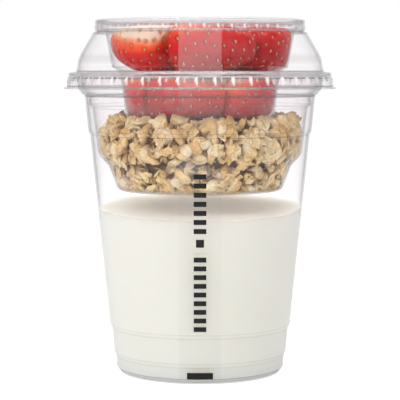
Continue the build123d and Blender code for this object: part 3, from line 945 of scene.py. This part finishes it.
lid_plastic = clear_plastic("clear_lid_plastic", haze=0.0, cloud=0.010, edge_shade=1.5)
flute_count = 48
lid_mesh = turned(sheet_line(lid_points(), lid_wall, 1.1), lid_plastic, flute_count * 12, closed=True)
lid_mesh = grown(lid_mesh, fluting, {
    "Flutes": flute_count, "Plate": 0.6 * MM, "Facet": 1.9 * MM, "Depth": 0.55 * MM,
    "Top": (lid_shoulder - 1.6) * MM, "Foot": (lid_shoulder - 4.7) * MM, "Ledge": 0.25 * MM,
    "Inside": 40 * MM, "Painted Highlight": 1.0, "Material": lid_plastic,
})
dome_lid = shown("clear_dome_lid", faced_out(lid_mesh, 22))
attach(dome_lid, "root")
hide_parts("dome_lid")

# Strawberry tub: a small clear tub hung by its flange on the dome's neck, with a waist ledge level
# with the dome's base and a narrower bowl below it.

fruit_wall = 0.4
fruit_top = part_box("fruit_tub")[1].z / MM
waist_height = fruit_floor + 17.4
fruit_collar_radius = neck_radius - lid_wall - 0.6


def fruit_tub_points():
    return [
        (0, fruit_floor, 0),
        (25.4, fruit_floor, 2.0),
        (27.4, waist_height - 1.4, bend),
        (30.1, waist_height, bend),
        (32.4, neck_top - 3.0, bend),
        (fruit_collar_radius, neck_top - 1.8, tight_bend),
        (fruit_collar_radius, neck_top, 0.5),
        (neck_radius, neck_top, 0),
    ]


# The low veil's pink: painted light on the lower berries, with some haze.
veil_pink = (1.0, 0.66, 0.62, 1)
fruit_plastic = clear_plastic("clear_fruit_tub_plastic", haze=0.0, cloud=0.014, low_veil=0.07,
                              low_veil_top=waist_height - 1.0, low_veil_colour=veil_pink)
fruit_tub = shown("clear_fruit_tub", turned(sheet_line(fruit_tub_points(), fruit_wall), fruit_plastic))
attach(fruit_tub, "root")
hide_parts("fruit_tub")

# Strawberries: fresh and hulled, moist and glossy, each seed in its own pit. They are packed in two
# rings with one in the middle, and press against each other, the tub and the lid.

berry_voxel = 0.75
upper_plumpness, lower_plumpness = 1.38, 1.6
half_sector = math.radians(35.6)
fruit_inside = beside(rounded(fruit_tub_points(), 1.0), fruit_wall)


def along_axis(node_name):
    """A strawberry's middle, its direction towards the tip and its length, from its solid."""
    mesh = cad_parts[node_name].data
    centres = np.array([face.center for face in mesh.polygons])
    areas = np.array([face.area for face in mesh.polygons])[:, None]
    mean = (centres * areas).sum(0) / areas.sum()
    spread = ((centres - mean) * areas).T @ (centres - mean)
    way = np.linalg.eigh(spread)[1][:, 2]
    reach = (centres - mean) @ way
    if reach.max() < -reach.min():
        way, reach = -way, -reach
    return mean + way * (reach.max() + reach.min()) / 2, way, reach.max() - reach.min()


def berry_tree():
    """Strawberry skin: pits at random spots, swollen between them, with a seed in each pit."""
    tree, inputs, outputs = geometry_tree("seeded_skin", {
        "Seed Mesh": "Object", "Middle": "Vector", "Way": "Vector", "Length": "Float",
        "Spacing": "Float", "Pit Depth": "Float", "Swell": "Float", "Seed": "Int",
        "Skin": "Material", "Seed Coat": "Material",
    })
    spots = node(tree, "GeometryNodeDistributePointsOnFaces", {
        "Mesh": inputs["Geometry"], "Distance Min": inputs["Spacing"],
        "Density Max": 5.0e5, "Seed": inputs["Seed"],
    }, distribute_method="POISSON")
    near = node(tree, "GeometryNodeProximity", {0: spots.outputs["Points"]}, target_element="POINTS")
    gap = near.outputs["Distance"]
    pit = node(tree, "ShaderNodeMapRange", {0: gap, 1: 0.25 * MM, 2: 1.15 * MM, 3: 1, 4: 0},
               interpolation_type="SMOOTHSTEP").outputs[0]
    swell = node(tree, "ShaderNodeMapRange", {0: gap, 1: 0.6 * MM, 2: 1.9 * MM},
                 interpolation_type="SMOOTHSTEP").outputs[0]
    place = node(tree, "GeometryNodeInputPosition").outputs[0]
    from_middle = node(tree, "ShaderNodeVectorMath", {0: place, 1: inputs["Middle"]}, operation="SUBTRACT")
    reach = node(tree, "ShaderNodeVectorMath", {0: from_middle.outputs[0], 1: inputs["Way"]},
                 operation="DOT_PRODUCT").outputs["Value"]
    along = calc(tree, "ADD", calc(tree, "DIVIDE", reach, inputs["Length"]), 0.5)
    uneven = node(tree, "ShaderNodeTexNoise", {"Vector": place, "Scale": 110, "Detail": 1}).outputs[0]
    push = calc(tree, "SUBTRACT", calc(tree, "MULTIPLY", swell, inputs["Swell"]),
                calc(tree, "MULTIPLY", pit, inputs["Pit Depth"]))
    push = calc(tree, "ADD", push, calc(tree, "MULTIPLY_ADD", uneven, -0.9 * MM, 0.30 * MM))
    normal = node(tree, "GeometryNodeInputNormal").outputs[0]
    offset = node(tree, "ShaderNodeVectorMath", {0: normal, "Scale": push}, operation="SCALE")
    skin = kept_on_points(tree, inputs["Geometry"], "pit", pit)
    skin = kept_on_points(tree, skin, "along", along)
    skin = node(tree, "GeometryNodeSetPosition", {"Geometry": skin, "Offset": offset.outputs[0]})
    skin = node(tree, "GeometryNodeSetMaterial",
                {"Geometry": skin.outputs[0], "Material": inputs["Skin"]})
    seed_mesh = node(tree, "GeometryNodeObjectInfo", {"Object": inputs["Seed Mesh"]})
    lie = node(tree, "FunctionNodeAxesToRotation",
               {"Primary Axis": spots.outputs["Normal"], "Secondary Axis": inputs["Way"]},
               primary_axis="Z", secondary_axis="X")
    size = node(tree, "FunctionNodeRandomValue", {2: 0.8, 3: 1.15, "Seed": 5}, data_type="FLOAT")
    laid = node(tree, "GeometryNodeInstanceOnPoints", {
        "Points": spots.outputs["Points"], "Instance": seed_mesh.outputs["Geometry"],
        "Rotation": lie.outputs[0], "Scale": size.outputs[1],
    })
    sunk = node(tree, "GeometryNodeTranslateInstances",
                {"Instances": laid.outputs[0], "Translation": (0, 0, -0.42 * MM)})
    real = node(tree, "GeometryNodeRealizeInstances", {"Geometry": sunk.outputs[0]})
    coat = node(tree, "GeometryNodeSetMaterial",
                {"Geometry": real.outputs[0], "Material": inputs["Seed Coat"]})
    both = node(tree, "GeometryNodeJoinGeometry")
    tree.links.new(skin.outputs[0], both.inputs[0])
    tree.links.new(coat.outputs[0], both.inputs[0])
    smooth = node(tree, "GeometryNodeSetShadeSmooth", {"Geometry": both.outputs[0]})
    tree.links.new(smooth.outputs[0], outputs["Geometry"])
    return tree


def ripening_group():
    """Strawberry colours: cream at the hulled end, orange-red, then deep red, with painted shade in the
    pits.
    """
    tree, inputs, outputs = shader_group(
        "ripening_skin", {"Riper": "Float"}, {"Colour": "Color", "Roughness": "Float", "Height": "Float"}
    )
    place = node(tree, "ShaderNodeTexCoord").outputs["Object"]
    along = node(tree, "ShaderNodeAttribute", attribute_name="along").outputs["Fac"]
    pit = node(tree, "ShaderNodeAttribute", attribute_name="pit").outputs["Fac"]
    blotch = node(tree, "ShaderNodeTexNoise", {"Vector": place, "Scale": 260, "Detail": 4}).outputs[0]
    start = calc(tree, "ADD", calc(tree, "ADD", along, inputs["Riper"]), -0.08)
    ramp = node(tree, "ShaderNodeValToRGB", {0: calc(tree, "MULTIPLY_ADD", blotch, 0.16, start)})
    ramp.color_ramp.elements[0].color = (0.90, 0.70, 0.54, 1)
    ramp.color_ramp.elements[1].color = (0.42, 0.004, 0.008, 1)
    for position, colour in (
        (0.07, (0.86, 0.40, 0.24, 1)),
        (0.16, (0.90, 0.125, 0.035, 1)),
        (0.34, (0.66, 0.016, 0.009, 1)),
        (0.60, (0.54, 0.006, 0.009, 1)),
    ):
        ramp.color_ramp.elements.new(position).color = colour
    # Painted shade: each pit is darkened towards a deep red.
    shade = calc(tree, "MULTIPLY", pit, 0.55)
    colour = node(tree, "ShaderNodeMix", {0: shade, 6: ramp.outputs[0], 7: (0.24, 0.006, 0.008, 1)},
                  data_type="RGBA").outputs[2]
    fine = node(tree, "ShaderNodeTexNoise", {"Vector": place, "Scale": 1500, "Detail": 2}).outputs[0]
    tree.links.new(colour, outputs["Colour"])
    tree.links.new(calc(tree, "MULTIPLY_ADD", blotch, 0.20, 0.14), outputs["Roughness"])
    tree.links.new(fine, outputs["Height"])
    return tree


ripening_skin = ripening_group()


def skin_material(name, riper):
    """Moist strawberry skin, further along its ripening by a share of the fruit's length."""
    material, tree = new_material(name)
    ripening = node(tree, "ShaderNodeGroup", {"Riper": riper}, node_tree=ripening_skin)
    bump = node(tree, "ShaderNodeBump", {
        "Height": ripening.outputs["Height"], "Strength": 0.3, "Distance": 0.12 * MM,
    }).outputs[0]
    surface = node(tree, "ShaderNodeBsdfPrincipled", {
        "Base Color": ripening.outputs["Colour"], "Roughness": ripening.outputs["Roughness"],
        "Specular IOR Level": 0.12, "Subsurface Weight": 0.15,
        "Subsurface Radius": (2.5 * MM, 0.6 * MM, 0.4 * MM), "Subsurface Scale": 1.0, "Normal": bump,
    })
    show(tree, surface.outputs[0])
    return material


def plumped(mesh, taper, upper):
    """Fills a strawberry out, wider above by the taper, then presses it against what is round it:
    its neighbours, the tub's wall, and the lid over the upper ones or the floor under the lower."""
    points = read_points(mesh)
    low, high = points[:, 2].min(), points[:, 2].max()
    centre = (points.min(0) + points.max(0)) / 2
    half = (high - low) / 2
    level = (points[:, 2] - centre[2]) / half
    plumpness = upper_plumpness if upper else lower_plumpness
    wider = (plumpness + taper * level)[:, None]
    points[:, :2] = centre[:2] + (points[:, :2] - centre[:2]) * wider
    pressed_side = level > 0 if upper else level < 0
    taller = np.abs(level) * half * np.where(pressed_side, plumpness, 1.1)
    points[:, 2] = centre[2] + np.sign(level) * eased(taller, half + 0.15, 2.0)
    radius = np.hypot(points[:, 0], points[:, 1])
    limit = np.interp(points[:, 2], fruit_inside[:, 1], fruit_inside[:, 0]) - 0.12
    pressed = eased(radius, limit, 0.9)
    own = math.atan2(centre[1], centre[0])
    aside = (np.arctan2(points[:, 1], points[:, 0]) - own + math.pi) % (2 * math.pi) - math.pi
    aside = np.sign(aside) * eased(np.abs(aside), half_sector, 0.12)
    points[:, 0] = pressed * np.cos(own + aside)
    points[:, 1] = pressed * np.sin(own + aside)
    write_points(mesh, points)


seeded_skin = berry_tree()
ripe_skin = skin_material("ripe_skin", 0.32)
# Painted light: the lower berries take a lighter copy of the skin, less far along the ramp, to brighten
# them in the shade of the lower bowl.
lower_skin = skin_material("bright_skin", 0.08)
pale_skin = skin_material("pale_shouldered_skin", 0.01)
seed_coat, tree = new_material("strawberry_seed")
place = node(tree, "ShaderNodeTexCoord").outputs["Object"]
mottle = node(tree, "ShaderNodeTexNoise", {"Vector": place, "Scale": 700, "Detail": 2}).outputs[0]
husk = node(tree, "ShaderNodeMix", {0: mottle, 6: (0.78, 0.48, 0.17, 1), 7: (0.58, 0.29, 0.08, 1)},
            data_type="RGBA").outputs[2]
show(tree, node(tree, "ShaderNodeBsdfPrincipled", {"Base Color": husk, "Roughness": 0.4}).outputs[0])
berry_seed = bpy.data.objects.new("berry_seed", lump(90, (1.35, 0.72, 0.55), 0.05, 1.0, level=1))
berry_count = 11
lower_count = 5
pale_berry = 10
tapers = {6: 0.05, 7: 0.10, pale_berry: 0.40}
ring_berry_length = 16 * MM
for number in range(1, berry_count + 1):
    name = f"strawberry_{number}"
    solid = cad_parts[name].data.copy()
    solid.materials.clear()
    middle_point, way, length = along_axis(name)
    if number < berry_count:
        plumped(solid, tapers.get(number, 0.0), number > lower_count)
        lean = random.Random(number)
        way = tuple(Vector((lean.uniform(-0.35, 0.35), lean.uniform(-0.35, 0.35), -1)).normalized())
        length = ring_berry_length
    berry_skin = ripe_skin if number > lower_count else lower_skin
    if number == pale_berry:
        berry_skin, way = pale_skin, (0.15, 0.33, -0.93)
    berry_mesh = grown(evened(solid, berry_voxel, subdivisions=1), seeded_skin, {
        "Seed Mesh": berry_seed, "Middle": middle_point, "Way": way, "Length": length,
        "Spacing": 3.1 * MM, "Pit Depth": 0.45 * MM, "Swell": 0.2 * MM, "Seed": 40 + number,
        "Skin": berry_skin, "Seed Coat": seed_coat,
    })
    berry = shown(f"fresh_{name}", berry_mesh)
    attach(berry, "root")
    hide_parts(name)

# Flat lid: a clear disc pressed into the strawberry tub, with a band round its edge and small
# fluted teeth under the band.

flat_lid_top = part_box("flat_lid")[1].z / MM
flat_lid_radius = neck_radius + 0.1 + lid_wall
recess_radius = fruit_collar_radius - fruit_wall - 0.1 - lid_wall


def flat_lid_points():
    return [
        (flat_lid_radius, flat_lid_top - 3.8, 0),
        (flat_lid_radius, flat_lid_top, tight_bend),
        (recess_radius, flat_lid_top, tight_bend),
        (recess_radius - 0.3, flat_lid_top - 1.4, tight_bend),
        (0, flat_lid_top - 1.4, 0),
    ]


lug_count = 50
flat_lid_plastic = clear_plastic("clear_flat_lid_plastic", haze=0.0, cloud=0.014, edge_shade=0.5)
flat_lid_mesh = turned(sheet_line(flat_lid_points(), lid_wall, 0.7), flat_lid_plastic, lug_count * 12)
flat_lid_mesh = grown(flat_lid_mesh, fluting, {
    "Flutes": lug_count, "Plate": 0.5 * MM, "Facet": 1.0 * MM, "Depth": 0.3 * MM,
    "Top": (flat_lid_top - 2.5) * MM, "Foot": (flat_lid_top - 3.9) * MM, "Ledge": 0.2 * MM,
    "Inside": 34.9 * MM, "Painted Highlight": 0.8, "Material": flat_lid_plastic,
})
flat_lid = shown("clear_flat_lid", faced_out(flat_lid_mesh, 22))
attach(flat_lid, "root")
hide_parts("flat_lid")

# Strip: a band of thin translucent white film over the top and down the front and back, pulled
# taut between the lid's lip and the foot. Plain dark bars are printed on its front. So thin a film
# casts no shadow.

strip_width = 13.7
strip_thickness = 0.2
strip_path = [
    (flat_lid_radius, flat_lid_top, 0.5),
    (skirt_radius, lid_shoulder, 0.5),
    (skirt_radius + 1.8, lid_shoulder - 5.0, 0.3),
    (skirt_radius + 1.8, lid_shoulder - 5.5, 0.3),
    (cup_radius(7.1), 7.1, 0.5),
    (body_base_radius, 0.9, 0),
]


def make_strip():
    side = rounded([(0, flat_lid_top, 0)] + strip_path, 1.5)
    columns = 15
    layers_made = []
    for gap in (0.02, strip_thickness - 0.02):
        line = beside(side, gap)
        path = [(radius, height, -1) for radius, height, _ in line[::-1]]
        path += [(radius, height, 1) for radius, height, _ in line[1:]]
        grid = []
        for radius, height, way in path:
            row = []
            for column in range(columns):
                x = strip_width * (column / (columns - 1) - 0.5)
                depth = math.sqrt(max(radius**2 - x**2, 0)) if radius > strip_width / 2 else radius
                row.append((x * MM, way * depth * MM, height * MM))
            grid.append(row)
        layers_made.append(grid)
    rows = len(layers_made[0])
    places = [place for grid in layers_made for row in grid for place in row]
    size = rows * columns
    faces = []
    for row in range(rows - 1):
        for column in range(columns - 1):
            a = row * columns + column
            faces.append((a, a + 1, a + 1 + columns, a + columns))
            faces.append((size + a, size + a + columns, size + a + 1 + columns, size + a + 1))
        for edge in (0, columns - 1):
            a = row * columns + edge
            faces.append((a, a + columns, size + a + columns, size + a))
    for row in (0, rows - 1):
        for column in range(columns - 1):
            a = row * columns + column
            faces.append((a, a + 1, size + a + 1, size + a))
    mesh = bpy.data.meshes.new("strip")
    mesh.from_pydata(places, [], faces)
    return faced_out(mesh, 60)


def within(tree, value, low, high):
    """1 where a value lies between two limits."""
    return calc(tree, "MULTIPLY", calc(tree, "GREATER_THAN", value, low),
                calc(tree, "LESS_THAN", value, high))


film, tree = new_material("printed_film")
place = node(tree, "ShaderNodeTexCoord").outputs["Object"]
x, y, z = node(tree, "ShaderNodeSeparateXYZ", {0: place}).outputs
front = calc(tree, "LESS_THAN", y, 0)
# Each print: half its width, its foot and top, and the pitch of its bars, or none for a plain one.
prints = (
    (2.05, 51.1, 71.9, 2.97),
    (2.05, 18.3, 44.6, 2.92),
    (1.3, 46.6, 49.2, None),
    (4.3, 2.0, 4.2, None),
)
mark = 0.0
for half, foot, top, pitch in prints:
    patch = calc(tree, "MULTIPLY", within(tree, z, foot * MM, top * MM),
                 within(tree, x, -half * MM, half * MM))
    if pitch:
        rows = calc(tree, "DIVIDE", calc(tree, "SUBTRACT", z, foot * MM), pitch * MM)
        dark_share = calc(tree, "LESS_THAN", calc(tree, "FRACT", rows), 0.56)
        patch = calc(tree, "MULTIPLY", patch, dark_share)
    mark = calc(tree, "MAXIMUM", mark, patch)
mark = calc(tree, "MULTIPLY", mark, front)
cloud = node(tree, "ShaderNodeTexNoise", {"Vector": place, "Scale": 90, "Detail": 3}).outputs[0]
# Painted highlight: the film is whiter where it faces up, standing for glare on its top.
lean = node(tree, "ShaderNodeNewGeometry").outputs["Normal"]
lean = calc(tree, "MAXIMUM", node(tree, "ShaderNodeSeparateXYZ", {0: lean}).outputs[2], 0)
veil = calc(tree, "MULTIPLY_ADD", lean, 0.10, calc(tree, "MULTIPLY_ADD", cloud, 0.02, 0.002))
cover = calc(tree, "MAXIMUM", veil, calc(tree, "MULTIPLY", mark, 0.985))
ink = node(tree, "ShaderNodeMix", {0: mark, 6: (0.92, 0.92, 0.91, 1), 7: (0.008, 0.008, 0.008, 1)},
           data_type="RGBA").outputs[2]
crease = node(tree, "ShaderNodeBump", {"Height": cloud, "Strength": 0.3, "Distance": 0.3 * MM}).outputs[0]
coat = node(tree, "ShaderNodeBsdfPrincipled", {
    "Base Color": ink, "Roughness": 0.45, "Specular IOR Level": 0.2, "Normal": crease,
}).outputs[0]
open_film = node(tree, "ShaderNodeBsdfTransparent", {"Color": (0.99, 0.99, 0.99, 1)}).outputs[0]
lit = calc(tree, "SUBTRACT", 1.0, node(tree, "ShaderNodeLightPath").outputs["Is Shadow Ray"])
cover = calc(tree, "MULTIPLY", cover, lit)
show(tree, node(tree, "ShaderNodeMixShader", {0: cover, 1: open_film, 2: coat}).outputs[0])
strip_mesh = make_strip()
strip_mesh.materials.append(film)
strip = shown("film_strip", strip_mesh)
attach(strip, "root")
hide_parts("label_strip")
